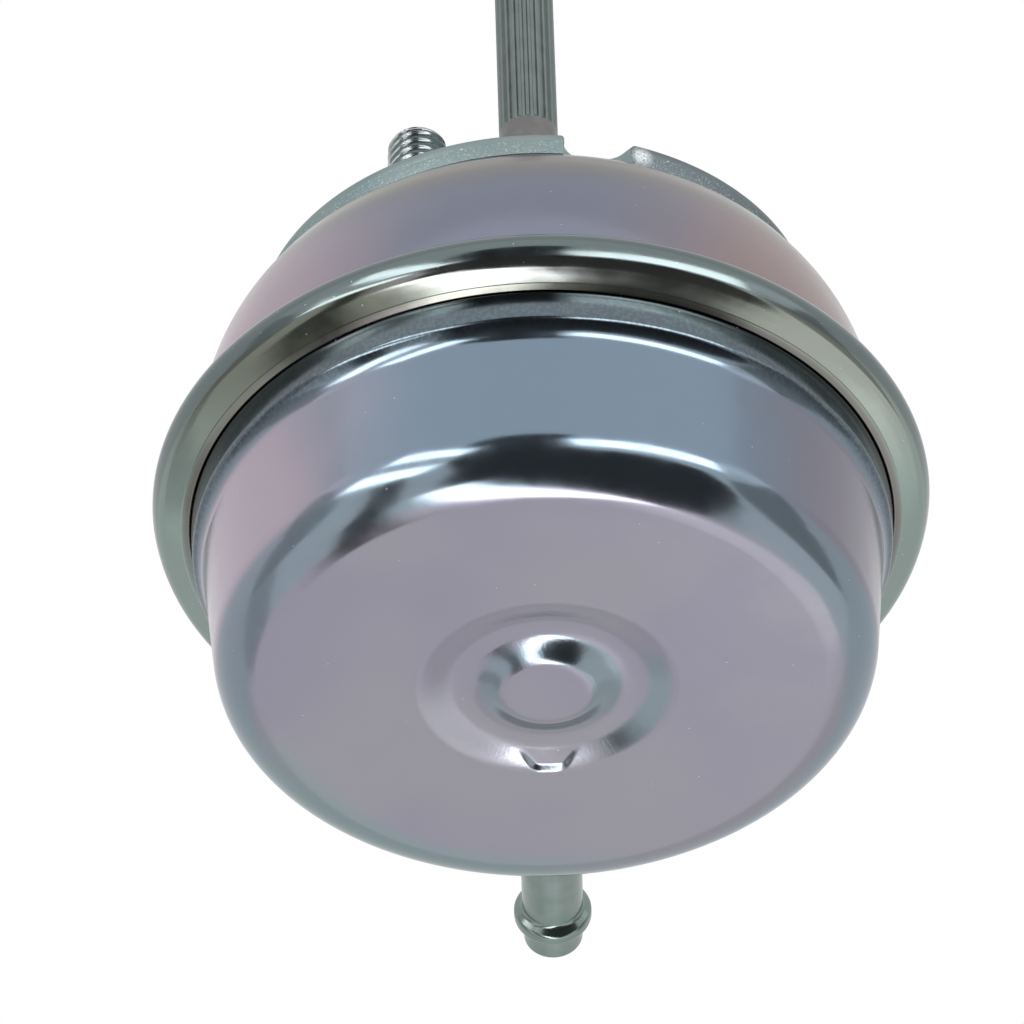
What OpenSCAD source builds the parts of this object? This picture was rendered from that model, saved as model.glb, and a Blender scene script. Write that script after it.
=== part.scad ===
// Vacuum diaphragm actuator for a turbocharger's vane ring.
// Two drawn steel cans are crimped together round the bead of a rolling diaphragm.
// Vacuum at the hose nipple pulls the rod in against a coil spring.
// Millimetres. The origin is the centre of the mounting plate's top face, +Z along the rod.

/* [Cans] */
// Thickness of the can sheet
sheet_t = 1.2; // [0.8:0.1:1.6]
// Depth of the lower can from its flat face to the rim
lower_can_depth = 20.2; // [18:0.1:26]
// Outer radius of the lower can's wall where it meets the rim
lower_wall_r = 33.9; // [30:0.1:40]
// Widening of the lower can's wall over its depth
lower_wall_flare = 2.2; // [0.5:0.1:3]
// Outside bend radius round the lower can's flat face
face_bend_r = 5.3; // [3:0.1:7]
// Height of the upper can above the rim
upper_can_h = 19.4; // [17:0.1:24]
// How much wider the upper can's wall is than the lower can's
wall_step = 0.4; // [0.2:0.1:0.8]
// Inset of the flat top's edge from the upper can's wall, if it had no bend
top_inset = 5.7; // [5:0.1:7]
// Bend radius between the upper can's flat top and its shoulder
top_bend_r = 5; // [3:0.1:6]
// Inset of the shoulder's middle from the upper can's wall
shoulder_inset = 2.1; // [1.6:0.1:2.6]
// Depth of the shoulder's middle below the flat top
shoulder_drop = 6.2; // [5:0.1:7]
// Bend radius of the shoulder's middle
shoulder_bend_r = 19; // [12:0.5:22]
// Depth below the flat top at which the wall stands straight, if it had no bend
wall_drop = 13.6; // [12:0.1:14.5]
// Bend radius between the shoulder and the straight wall
wall_bend_r = 36; // [20:1:38]
// Bend radius where the lower can's wall turns out into its flange
lower_flange_bend_r = 0.6; // [0.5:0.1:0.9]
// Bend radius where the upper can's wall turns out into the rim
upper_flange_bend_r = 1; // [0.6:0.1:1.4]

/* [Crimped rim] */
// Width of the crimped rim beyond the lower can's wall
rim_w = 4.2; // [3.8:0.1:8]
// Gap between the open edge of the crimp's lip and the lower can's wall
lip_gap = 0.7; // [0.6:0.1:1]
// Thickness of the diaphragm's bead between the flanges
bead_t = 1.6; // [1.2:0.1:2.2]

/* [Stamped centre of the lower can] */
// Radius of the stamped recess
recess_r = 12.8; // [11:0.1:13.2]
// Greatest depth of the stamped recess
recess_depth = 0.9; // [0.8:0.1:1.4]
// Radius at which the recess is deepest
recess_floor_r = 9.2; // [8.8:0.1:9.6]
// Bend radius of the floor where it is deepest
recess_floor_bend_r = 3; // [1:0.1:4]
// Height of the recess's sloped wall
recess_wall_h = 0.6; // [0.4:0.1:0.7]
// Radial run of the recess's sloped wall
recess_slope = 1.6; // [1.3:0.1:1.9]
// Bend radius where the recess's wall curves out of its floor
recess_bend_r = 1.5; // [1:0.1:2]
// Bend radius of the recess's outer edge
recess_edge_bend_r = 1.2; // [0.6:0.1:1.6]
// Radius of the boss in the recess, at its foot
boss_foot_r = 7.3; // [6.6:0.1:8]
// Depth of the boss's foot below the flat face
boss_foot_depth = 0.7; // [0.4:0.1:0.8]
// Bend radius at the boss's foot
boss_foot_bend_r = 0.5; // [0.4:0.1:1]
// Radius of the boss's flat disc
boss_disc_r = 4.2; // [3.4:0.1:5]
// Bend radius round the boss's disc
boss_bend_r = 2.2; // [1:0.1:4]
// How far the boss stands proud of the flat face
boss_proud = 0.6; // [0.2:0.1:1]
// Width of the V mark at its foot, in the recess's wall on the nipple's side
mark_w = 6.4; // [4:0.1:8]
// Width of the V mark at its tip
mark_tip_w = 2.4; // [1:0.1:3]
// Depth of the V mark's floor below the flat face
mark_depth = 0.7; // [0.5:0.1:0.8]
// Margin of the pad that the V mark presses into the can
mark_pad = 0.8; // [0.5:0.1:1]

/* [Mounting plate and studs] */
// Thickness of the mounting plate
plate_t = 2.5; // [2:0.1:4]
// Inset of the mounting plate's edge from the edge of the can's flat top
plate_inset = 0.8; // [0.2:0.1:3]
// Depth of the locating notch in the plate's edge
notch_depth = 4.2; // [2.6:0.1:5]
// Width of the notch's floor
notch_floor_w = 5.2; // [3:0.1:6]
// Place of the notch's straight flank, right of the centre line
notch_x = 3.1; // [2:0.1:6]
// Fillet radius in the notch's corners
notch_fillet_r = 1.6; // [0.8:0.1:2]
// Lean of the notch's straight flank, over its depth
notch_lean = 0.6; // [0:0.1:1]
// Number of mounting studs
stud_count = 3; // [2:1:4]
// Diameter of the studs' pitch circle
stud_pcd = 36; // [34:0.5:40]
// Direction of the first stud, from +X
stud_angle = -128.3; // [-140:0.1:-115]
// Diameter of the studs
stud_d = 6; // [5:0.5:6]
// Length of the studs above the plate
stud_len = 12.6; // [10:0.1:20]
// Diameter of the knurled shank that holds each stud in the plate and the can
stud_shank_d = 6.6; // [6.2:0.1:7.4]
// Chamfer at the studs' tips
stud_tip = 0.8; // [0.4:0.1:1]
// Diameter of the studs' heads inside the can
stud_head_d = 9.6; // [9:0.1:11]
// Thickness of the studs' heads
stud_head_t = 1.5; // [1:0.1:1.8]

/* [Hose nipple] */
// Height of the nipple's axis above the lower can's flat face
nipple_h = 12; // [10.5:0.1:13.5]
// Outer diameter of the nipple's tube
nipple_d = 6.2; // [5:0.1:6.4]
// Bore of the nipple
nipple_bore_d = 3.4; // [2:0.1:3.8]
// Diameter over the barb
barb_d = 7.9; // [7:0.1:9]
// Length of the nipple beyond the lower can's wall at the rim
nipple_len = 19.7; // [16:0.1:26]
// Length of the barb
barb_len = 2.7; // [2.4:0.1:5]
// Length of the ramp that widens the tube into the barb
barb_ramp = 0.7; // [0.6:0.1:2]
// Length of the step from the barb down to the tip
barb_step = 0.9; // [0.3:0.1:1.2]
// Length of the tip beyond the barb
tip_len = 2.8; // [1:0.1:3.4]
// Diameter of the tip
tip_d = 6; // [5:0.1:6.2]
// Diameter of the collar brazed against the can
collar_d = 9.6; // [8:0.1:11]
// Length of the collar beyond the can's wall
collar_len = 2.2; // [1.5:0.1:4]
// Rounding of the nipple's turned edges
nipple_edge_r = 0.6; // [0.2:0.1:0.7]

/* [Diaphragm and piston] */
// Thickness of the diaphragm's fabric-backed rubber
rubber_t = 0.8; // [0.6:0.1:1]
// Gap between the piston cup's skirt and the can's wall, where the diaphragm rolls
roll_gap = 5.7; // [5.2:0.1:7]
// Bend radius round the piston cup's face
cup_bend_r = 3; // [2:0.1:4]
// Thickness of the piston cup's sheet
cup_t = 1.2; // [1:0.1:1.5]
// Thickness of the plate on the rod's side of the diaphragm
clamp_plate_t = 1; // [0.8:0.1:1.5]
// Inset of that plate's rim from the piston cup's skirt
clamp_plate_inset = 4; // [3.4:0.1:7]
// Height of that plate's upturned rim
clamp_rim_h = 2.2; // [1.6:0.1:2.6]
// Flare of that plate's rim
clamp_flare = 1; // [0.6:0.1:1.5]
// Bend radius of that plate's rim
clamp_bend_r = 1.6; // [1:0.1:1.6]
// Radius of the clamp washer under the piston cup
washer_r = 7.5; // [6:0.1:9]
// Thickness of the clamp washer
washer_t = 1.2; // [1:0.1:2]
// Thickness of the lock washer
lock_washer_t = 1.3; // [1:0.1:1.6]
// Width of the piston nut across its flats
nut_flats = 8; // [8:0.1:10]
// Thickness of the piston nut
nut_t = 4; // [3:0.1:5]
// Slit of the lock washer
lock_slit = 0.8; // [0.4:0.1:1.2]

/* [Return spring] */
// Diameter of the spring's wire
wire_d = 2.6; // [2:0.1:2.8]
// Mean diameter of the spring's coils
spring_d = 32.4; // [32:0.1:36]
// Number of turns between the two closed ends
active_turns = 4; // [3:0.5:5]
// Thickness of the spring seat
seat_t = 1; // [0.8:0.1:1.5]
// Height of the seat's centring collar
seat_collar_h = 3; // [2:0.1:4]

/* [Push rod] */
// Diameter of the push rod
rod_d = 6; // [5:0.1:6.6]
// Diameter of the rod's threaded spigot
spigot_d = 5; // [4:0.1:5]
// Diameter of the rod's collar on the piston
rod_collar_d = 10; // [9:0.1:11]
// Thickness of the rod's collar
rod_collar_t = 1.2; // [1:0.1:1.6]
// Length of the spigot beyond the piston nut
spigot_proud = 1.2; // [0.6:0.1:2]
// Height above the plate where the rod's ribs begin
ribs_from = 26.5; // [24:0.1:32]
// Number of ribs round the rod
rib_count = 22; // [18:1:26]
// Depth of the grooves between the ribs
groove_depth = 0.28; // [0.15:0.01:0.35]
// Stroke of the rod
stroke = 15; // [10:0.5:15]

/* [Rod guide] */
// Wall of the guide bush
bush_wall = 1.45; // [1.2:0.05:1.8]
// Running clearance of the rod in its bush, on the radius
rod_clearance = 0.05; // [0.02:0.01:0.1]
// Wall of the guide housing
housing_wall = 2; // [1.8:0.1:3]
// Height of the guide housing above the plate
housing_h = 6.6; // [6.4:0.1:10]
// Radius of the housing's flange inside the can
housing_flange_r = 9.5; // [9.2:0.1:11]
// Thickness of the housing's flange
housing_flange_t = 1.5; // [1.2:0.1:2]
// Thickness of the swaged collar on the plate
swage_t = 1.2; // [0.8:0.1:1.6]
// How far the swaged collar overlaps the plate
swage_w = 1.5; // [1:0.1:3]
// Thickness of the felt wiper
wiper_t = 1.6; // [1.2:0.1:2]
// Thickness of the wiper's retaining washer
retainer_t = 0.8; // [0.6:0.1:1]
// Thickness of the lip rolled over the retaining washer
lip_t = 0.6; // [0.4:0.1:0.8]
// Width of that lip
lip_w = 0.5; // [0.3:0.1:0.7]
// Thickness of the rubber stop bumper
bumper_t = 2.6; // [2:0.1:3.4]
// Width of the stop bumper's ring
bumper_w = 3.6; // [3:0.1:4]
// Free space between the stop bumper and the guide housing
bumper_gap = 0.3; // [0.2:0.05:0.5]

/* [Rod end] */
// Height of the eye's centre above the mounting plate
eye_h = 72; // [68:0.5:100]
// Outer radius of the eye
eye_r = 7.5; // [6.5:0.1:9]
// Thickness of the eye
eye_t = 5; // [4:0.1:6]
// Length of the socket crimped on the rod
socket_len = 14; // [12:0.5:18]
// Wall of the socket
socket_wall = 1.8; // [1.5:0.1:2.5]
// Depth to which the socket's middle is pressed to a hexagon
press_depth = 0.24; // [0.1:0.02:0.4]
// Length of the round bands at both ends of the socket
socket_band = 3; // [2:0.1:4]
// Length of the rod inside the socket
rod_grip = 12; // [9:0.5:12]
// Bore of the bush in the eye
pin_d = 6.1; // [5:0.1:6.5]
// Wall of the bush in the eye
eye_bush_wall = 1.4; // [1:0.1:1.8]
// How far the bush stands out of the eye, each side
eye_bush_proud = 0.5; // [0.2:0.1:1]

/* [Hidden] */
$fn = 96;

// Small gap between pieces that only rest against each other
seat_gap = 0.05;
// Gap between the diaphragm and what moves beside it
moving_gap = 0.3;
// Depth by which a cut runs past a face
over = 1;
// Chamfer on turned edges
chamfer = 0.5;

// Heights of the shell, from the plate's top face down
can_top = -plate_t;
can_ceiling = can_top - sheet_t;
rim_top = can_top - upper_can_h;
rim_h = 3 * sheet_t + bead_t;
rim_bottom = rim_top - rim_h;
face_z = rim_bottom - lower_can_depth;
can_floor = face_z + sheet_t;
lower_flange_z = rim_bottom + sheet_t;
bead_z = lower_flange_z + sheet_t;

// Radii of the shell
wall_draft = lower_wall_flare / (lower_can_depth + sheet_t);
rim_r = lower_wall_r + rim_w;
lip_edge_r = lower_wall_r + lip_gap;
flange_r = rim_r - rim_h / 2;
upper_wall_r = lower_wall_r + wall_step;
upper_top_r = upper_wall_r - top_inset;
shoulder_r = upper_wall_r - shoulder_inset;
plate_r = upper_top_r - plate_inset;
cup_r = lower_wall_r - sheet_t - roll_gap;
clamp_plate_r = cup_r - clamp_plate_inset;

// Heights of the piston stack, with the rod fully out
housing_floor = can_ceiling - housing_flange_t;
bumper_top = housing_floor - bumper_gap;
clamp_top = bumper_top - bumper_t;
rubber_top = clamp_top - clamp_plate_t;
cup_top = rubber_top - rubber_t;
cup_ceiling = cup_top - cup_t;
washer_z = cup_ceiling - washer_t;
lock_washer_z = washer_z - lock_washer_t;
nut_z = lock_washer_z - nut_t;
skirt_z = can_floor + stroke + moving_gap;

// Radii of the rod guide
bush_bore_r = rod_d / 2 + rod_clearance;
bush_r = bush_bore_r + bush_wall;
housing_r = bush_r + housing_wall;
pocket_r = bush_r + housing_wall / 2;
pocket_z = housing_h - wiper_t - retainer_t - lip_t;

nipple_z = face_z + nipple_h;
nipple_reach = lower_wall_r + nipple_len;
stud_positions = [for (i = [0 : stud_count - 1]) stud_angle + i * 360 / stud_count];

// Plane geometry for bent sheet: a path is a list of [radius, height, bend radius]
function unit(v) = v / norm(v);
function place(path, i) = [path[i][0], path[i][1]];
function left_of(a, b) = let (d = unit(b - a)) [-d[1], d[0]];

// Points of one bend of a path, in steps of about 9 degrees
function bend(path, i) =
  let (last = len(path) - 1, p = place(path, i), r = path[i][2])
  i == 0 || i == last || r <= 0 ? [p] :
  let (
    u = unit(place(path, i - 1) - p),
    v = unit(place(path, i + 1) - p),
    half = acos(max(-1, min(1, u * v))) / 2,
    centre = p + unit(u + v) * r / sin(half),
    from = p + u * r / tan(half) - centre,
    turn = (180 - 2 * half) * sign(cross(-u, v)),
    steps = max(2, ceil(abs(turn) / 9))
  )
  [for (k = [0 : steps]) let (a = turn * k / steps)
    centre + [from[0] * cos(a) - from[1] * sin(a), from[0] * sin(a) + from[1] * cos(a)]];
function bent(path) = [for (i = [0 : len(path) - 1]) each bend(path, i)];

// The same path moved to its left by t, with each bend kept concentric
function beside(path, t) = [
  for (i = [0 : len(path) - 1])
    let (
      last = len(path) - 1,
      p = place(path, i),
      before = i > 0 ? left_of(place(path, i - 1), p) : left_of(p, place(path, 1)),
      after = i < last ? left_of(p, place(path, i + 1)) : before,
      q = p + t * (before + after) / (1 + before * after)
    )
    [q[0], q[1], max(0, path[i][2] - t * sign(cross(before, after)))]
];
function reversed(points) = [for (i = [len(points) - 1 : -1 : 0]) points[i]];
function sheet(path, t) = concat(bent(path), reversed(bent(beside(path, t))));

module ring(r_in, r_out, z, h) {
  rotate_extrude() translate([r_in, z]) square([r_out - r_in, h]);
}

// Outside of the lower can, from the centre of its flat face to the rim
lower_path = [
  [0, face_z - boss_proud, 0],
  [boss_disc_r, face_z - boss_proud, boss_bend_r],
  [boss_foot_r, face_z + boss_foot_depth, boss_foot_bend_r],
  [recess_floor_r, face_z + recess_depth, recess_floor_bend_r],
  [recess_r - recess_slope, face_z + recess_wall_h, recess_bend_r],
  [recess_r, face_z, recess_edge_bend_r],
  [lower_wall_r - lower_wall_flare, face_z, face_bend_r],
  [lower_wall_r, lower_flange_z, lower_flange_bend_r],
  [flange_r, lower_flange_z, 0]
];

module lower_can() {
  color("#a9a3b4")
    difference() {
      union() {
        rotate_extrude() polygon(sheet(lower_path, sheet_t));
        translate([0, 0, can_floor]) v_mark(mark_pad, mark_depth);
      }
      translate([0, 0, face_z - over]) v_mark(0, mark_depth + over);
      nipple_hole();
    }
}

// Prism on the V mark's outline, grown by a margin
module v_mark(grown, h) {
  foot = mark_w / 2 + grown;
  tip = mark_tip_w / 2 + grown;
  linear_extrude(h)
    polygon([
      [-foot, recess_floor_r - grown], [foot, recess_floor_r - grown],
      [tip, recess_r + grown], [-tip, recess_r + grown]
    ]);
}

module nipple_hole() {
  translate([0, cup_r, nipple_z]) rotate([-90, 0, 0]) cylinder(d = nipple_d, h = nipple_reach - cup_r);
}

// Outside of the upper can, from the guide's hole over the shoulder and round the rim
upper_path = [
  [housing_r, can_top, 0],
  [upper_top_r, can_top, top_bend_r],
  [shoulder_r, can_top - shoulder_drop, shoulder_bend_r],
  [upper_wall_r, can_top - wall_drop, wall_bend_r],
  [upper_wall_r, rim_top, upper_flange_bend_r],
  [rim_r, rim_top, rim_h / 2 - seat_gap],
  [rim_r, rim_bottom, rim_h / 2 - seat_gap],
  [lip_edge_r, rim_bottom, 0]
];

module upper_can() {
  color("#a9a3b4")
    difference() {
      rotate_extrude() polygon(sheet(upper_path, -sheet_t));
      stud_holes();
    }
}

module stud_holes() {
  for (a = stud_positions)
    rotate(a) translate([stud_pcd / 2, 0, can_ceiling - over])
      cylinder(d = stud_shank_d, h = sheet_t + plate_t + 2 * over);
}

module mounting_plate() {
  floor_y = plate_r - notch_depth;
  color("#8a9a9b")
    difference() {
      translate([0, 0, can_top]) cylinder(r = plate_r, h = plate_t);
      translate([0, 0, can_top - over]) cylinder(r = housing_r, h = plate_t + 2 * over);
      stud_holes();
      translate([0, 0, can_top - over])
        linear_extrude(plate_t + 2 * over)
          polygon(bent([
            [notch_x + notch_lean / 2, -plate_r - over, 0],
            [notch_x - notch_lean / 2, -floor_y, notch_fillet_r],
            [notch_x + notch_floor_w, -floor_y, notch_fillet_r],
            [notch_x + notch_floor_w + notch_depth + over, -plate_r - over, 0]
          ]));
    }
}

module mounting_studs() {
  thread_r = stud_d / 2;
  shank_r = stud_shank_d / 2;
  color("#7c8084")
    for (a = stud_positions)
      rotate(a) translate([stud_pcd / 2, 0, 0])
        rotate_extrude()
          polygon([
            [0, can_ceiling - stud_head_t], [stud_head_d / 2, can_ceiling - stud_head_t],
            [stud_head_d / 2, can_ceiling], [shank_r, can_ceiling],
            [shank_r, 0], [thread_r, 0],
            [thread_r, stud_len - stud_tip], [thread_r - stud_tip, stud_len], [0, stud_len]
          ]);
}

// Turned sleeve through the can and the plate, swaged over so that it clamps them together
module guide_housing() {
  collar_r = housing_r + swage_w;
  lip_r = pocket_r - lip_w;
  color("#8d9294")
    rotate_extrude()
      polygon([
        [bush_r, housing_floor], [housing_flange_r, housing_floor],
        [housing_flange_r, can_ceiling], [housing_r, can_ceiling],
        [housing_r, 0], [collar_r, 0],
        [collar_r, swage_t - chamfer], [collar_r - chamfer, swage_t],
        [housing_r, swage_t], [housing_r, housing_h - chamfer],
        [housing_r - chamfer, housing_h], [lip_r, housing_h],
        [lip_r, housing_h - lip_t], [pocket_r, housing_h - lip_t],
        [pocket_r, pocket_z], [bush_r, pocket_z]
      ]);
}

// Sintered bush, fluted so that the upper can breathes past it
module guide_bush() {
  flutes = 4;
  flute_r = 0.5;
  color("#9a7b4f")
    difference() {
      ring(bush_bore_r, bush_r, housing_floor, pocket_z - housing_floor);
      for (i = [0 : flutes - 1])
        rotate(i * 360 / flutes) translate([bush_r, 0, housing_floor - over])
          cylinder(r = flute_r, h = pocket_z - housing_floor + 2 * over, $fn = 24);
    }
}

module wiper_seal() {
  color("#5a564f") ring(bush_bore_r + seat_gap, pocket_r, pocket_z, wiper_t);
}

module wiper_retainer() {
  color("#b0b4b5") ring(bush_bore_r + moving_gap, pocket_r, pocket_z + wiper_t, retainer_t);
}

// Turned hose nipple along +Y, its collar cut to the slope and curve of the can's wall
module vacuum_nipple() {
  barb_from = nipple_reach - tip_len - barb_len;
  tip_from = nipple_reach - tip_len;
  edge = nipple_edge_r;
  wall_y = lower_wall_r - wall_draft * (lower_flange_z - nipple_z);
  envelope_h = lower_can_depth + sheet_t;
  color("#98a29c")
    difference() {
      translate([0, 0, nipple_z]) rotate([-90, 0, 0])
        rotate_extrude()
          polygon(concat(
            [[nipple_bore_d / 2, wall_y - sheet_t]],
            bent([
              [collar_d / 2, wall_y - sheet_t, 0],
              [collar_d / 2, wall_y + collar_len, edge],
              [nipple_d / 2, wall_y + collar_len, edge],
              [nipple_d / 2, barb_from, edge],
              [barb_d / 2, barb_from + barb_ramp, edge],
              [barb_d / 2, tip_from - barb_step, edge],
              [tip_d / 2, tip_from, edge / 2],
              [tip_d / 2, nipple_reach, edge],
              [nipple_bore_d / 2, nipple_reach, 0]
            ])
          ));
      nipple_clearance(envelope_h);
    }
}

// Everything inside the outer face of the can's wall, apart from the tube's own hole
module nipple_clearance(h) {
  difference() {
    translate([0, 0, face_z])
      cylinder(r1 = lower_wall_r - lower_wall_flare, r2 = lower_wall_r, h = h);
    translate([0, 0, nipple_z]) rotate([-90, 0, 0])
      cylinder(d = nipple_d, h = lower_wall_r + over);
  }
}

module spring_seat() {
  outer_r = spring_d / 2 + wire_d;
  collar_r = (spring_d - wire_d) / 2 - moving_gap;
  color("#8f9496")
    rotate_extrude()
      polygon(sheet([
        [outer_r, can_floor + seat_t, 0],
        [collar_r, can_floor + seat_t, seat_t],
        [collar_r, can_floor + seat_t + seat_collar_h, 0]
      ], seat_t));
}

// Round wire wound with one closed turn at each end
function spring_rise(turn, turns, pitch) =
  let (closed = wire_d + seat_gap)
  turn < 1 ? turn * closed :
  turn < turns - 1 ? closed + (turn - 1) * pitch :
  closed + (turns - 2) * pitch + (turn - turns + 1) * closed;

module return_spring() {
  sides = 10;
  per_turn = 28;
  turns = active_turns + 2;
  foot = can_floor + seat_t + wire_d / 2 + seat_gap;
  head = cup_ceiling - wire_d / 2 - seat_gap;
  pitch = (head - foot - 2 * (wire_d + seat_gap)) / active_turns;
  rings = turns * per_turn;
  points = [
    for (i = [0 : rings])
      let (turn = i / per_turn, z = foot + spring_rise(turn, turns, pitch))
        for (k = [0 : sides - 1])
          let (a = 360 * k / sides, r = spring_d / 2 + wire_d / 2 * cos(a))
            [r * cos(360 * turn), r * sin(360 * turn), z + wire_d / 2 * sin(a)]
  ];
  walls = [
    for (i = [0 : rings - 1], k = [0 : sides - 1])
      let (a = i * sides, b = a + sides, n = (k + 1) % sides)
        each [[a + k, a + n, b + n], [a + k, b + n, b + k]]
  ];
  start = [for (k = [sides - 1 : -1 : 0]) k];
  end = [for (k = [0 : sides - 1]) rings * sides + k];
  color("#6f7376") polyhedron(points, concat([start], walls, [end]));
}

// Rolling diaphragm: a disc on the piston, a sleeve, one roll, and the bead in the rim
module diaphragm() {
  sleeve_r = cup_r + moving_gap;
  wall_r = lower_wall_r - sheet_t - 2 * moving_gap;
  roll_r = (wall_r - sleeve_r) / 2;
  roll_z = lower_flange_z - 2 * rubber_t - roll_r;
  roll_bend_r = roll_r - seat_gap / 5;
  inner_flange_r = lower_wall_r + 2 * seat_gap;
  flange_bend_r = rubber_t + 1;
  bead_round = bead_t / 2;
  color("#2f2f31")
    rotate_extrude() {
      polygon(sheet([
        [spigot_d / 2 + moving_gap, cup_top, 0],
        [sleeve_r, cup_top, cup_bend_r + moving_gap],
        [sleeve_r, roll_z, roll_bend_r],
        [wall_r, roll_z, roll_bend_r],
        [wall_r, bead_z, flange_bend_r],
        [inner_flange_r + rubber_t / 2, bead_z, 0]
      ], rubber_t));
      translate([inner_flange_r, bead_z]) square([flange_r - inner_flange_r, bead_t]);
      translate([flange_r, bead_z + bead_round])
        intersection() {
          circle(r = bead_round - seat_gap, $fn = 48);
          translate([0, -bead_t]) square(2 * bead_t);
        }
    }
}

module piston_cup() {
  color("#8f9496")
    rotate_extrude()
      polygon(sheet([
        [spigot_d / 2, cup_top, 0],
        [cup_r, cup_top, cup_bend_r],
        [cup_r, skirt_z, 0]
      ], -cup_t));
}

module diaphragm_plate() {
  color("#8f9496")
    rotate_extrude()
      polygon(sheet([
        [spigot_d / 2, rubber_top, 0],
        [clamp_plate_r - clamp_flare, rubber_top, clamp_bend_r],
        [clamp_plate_r, rubber_top + clamp_rim_h, 0]
      ], clamp_plate_t));
}

module stop_bumper() {
  inner_r = rod_collar_d / 2 + seat_gap;
  color("#2b2b2d") ring(inner_r, inner_r + bumper_w, clamp_top, bumper_t);
}

module clamp_washer() {
  color("#a4a8a9") ring(spigot_d / 2, washer_r, washer_z, washer_t);
}

// Split spring washer, flat when tightened
module lock_washer() {
  outer_r = (nut_flats + over) / 2;
  color("#7c8084")
    difference() {
      ring(spigot_d / 2, outer_r, lock_washer_z, lock_washer_t);
      translate([0, -lock_slit / 2, lock_washer_z - over])
        cube([outer_r + over, lock_slit, lock_washer_t + 2 * over]);
    }
}

module piston_nut() {
  corner_r = nut_flats / 2 / cos(30);
  color("#9da1a2")
    difference() {
      intersection() {
        translate([0, 0, nut_z]) cylinder(r = corner_r, h = nut_t, $fn = 6);
        rotate_extrude()
          polygon([
            [0, nut_z], [nut_flats / 2, nut_z], [corner_r, nut_z + chamfer],
            [corner_r, lock_washer_z], [0, lock_washer_z]
          ]);
      }
      translate([0, 0, nut_z - over]) cylinder(d = spigot_d, h = nut_t + 2 * over);
    }
}

// The rod's ribbed length runs into the socket of the rod end
socket_r = rod_d / 2 + socket_wall;
socket_z = eye_h - eye_r - socket_len;
rod_top = socket_z + rod_grip;

module push_rod() {
  spigot_z = nut_z - spigot_proud;
  spigot_r = spigot_d / 2;
  color("#6d7272")
    union() {
      rotate_extrude()
        polygon([
          [0, spigot_z], [spigot_r - chamfer, spigot_z], [spigot_r, spigot_z + chamfer],
          [spigot_r, clamp_top], [rod_collar_d / 2, clamp_top],
          [rod_collar_d / 2, clamp_top + rod_collar_t],
          [rod_d / 2, clamp_top + rod_collar_t], [rod_d / 2, ribs_from], [0, ribs_from]
        ]);
      translate([0, 0, ribs_from]) linear_extrude(rod_top - ribs_from) ribbed_section();
    }
}

// Cross-section of straight ribs: flat-bottomed grooves cut in a round bar
module ribbed_section() {
  pitch = 360 / rib_count;
  root_r = rod_d / 2 - groove_depth;
  mouth_r = rod_d / 2 + groove_depth / 2;
  mouth_half = 0.3 * pitch;
  floor_half = 0.16 * pitch;
  difference() {
    circle(d = rod_d);
    for (i = [0 : rib_count - 1])
      rotate(i * pitch)
        polygon([
          [root_r * cos(floor_half), -root_r * sin(floor_half)],
          [mouth_r * cos(mouth_half), -mouth_r * sin(mouth_half)],
          [mouth_r * cos(mouth_half), mouth_r * sin(mouth_half)],
          [root_r * cos(floor_half), root_r * sin(floor_half)]
        ]);
  }
}

// Drop-forged eye with a socket pressed to a hexagon over the ribs
module rod_end() {
  neck_z = socket_z + socket_len;
  hexagon_r = (socket_r - press_depth) / cos(30);
  color("#868b8c")
    difference() {
      union() {
        intersection() {
          rotate_extrude()
            polygon([
              [0, socket_z], [socket_r - chamfer, socket_z], [socket_r, socket_z + chamfer],
              [socket_r, neck_z + over], [0, neck_z + over]
            ]);
          union() {
            translate([0, 0, socket_z]) cylinder(r = 2 * socket_r, h = socket_band);
            translate([0, 0, socket_z]) cylinder(r = hexagon_r, h = socket_len, $fn = 6);
            translate([0, 0, neck_z - socket_band]) cylinder(r = 2 * socket_r, h = socket_band + over);
          }
        }
        translate([0, 0, eye_h]) rotate([0, 90, 0])
          cylinder(r = eye_r, h = eye_t, center = true);
        intersection() {
          translate([-eye_t / 2, -socket_r, neck_z]) cube([eye_t, 2 * socket_r, eye_r]);
          cylinder(r = socket_r, h = eye_h);
        }
      }
      translate([0, 0, socket_z - over]) cylinder(d = rod_d, h = rod_top - socket_z + over);
      translate([0, 0, eye_h]) rotate([0, 90, 0])
        cylinder(d = pin_d + 2 * eye_bush_wall, h = eye_t + 2 * over, center = true);
    }
}

module eye_bush() {
  len = eye_t + 2 * eye_bush_proud;
  color("#8a7550")
    translate([0, 0, eye_h]) rotate([0, 90, 0])
      difference() {
        cylinder(d = pin_d + 2 * eye_bush_wall, h = len, center = true);
        cylinder(d = pin_d, h = len + 2 * over, center = true);
      }
}

lower_can();
upper_can();
vacuum_nipple();
mounting_plate();
mounting_studs();
guide_housing();
guide_bush();
wiper_seal();
wiper_retainer();
spring_seat();
return_spring();
diaphragm();
piston_cup();
diaphragm_plate();
stop_bumper();
clamp_washer();
lock_washer();
piston_nut();
push_rod();
rod_end();
eye_bush();
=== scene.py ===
import math
import bmesh
import bpy
from mathutils import Matrix, Vector, geometry


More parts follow.
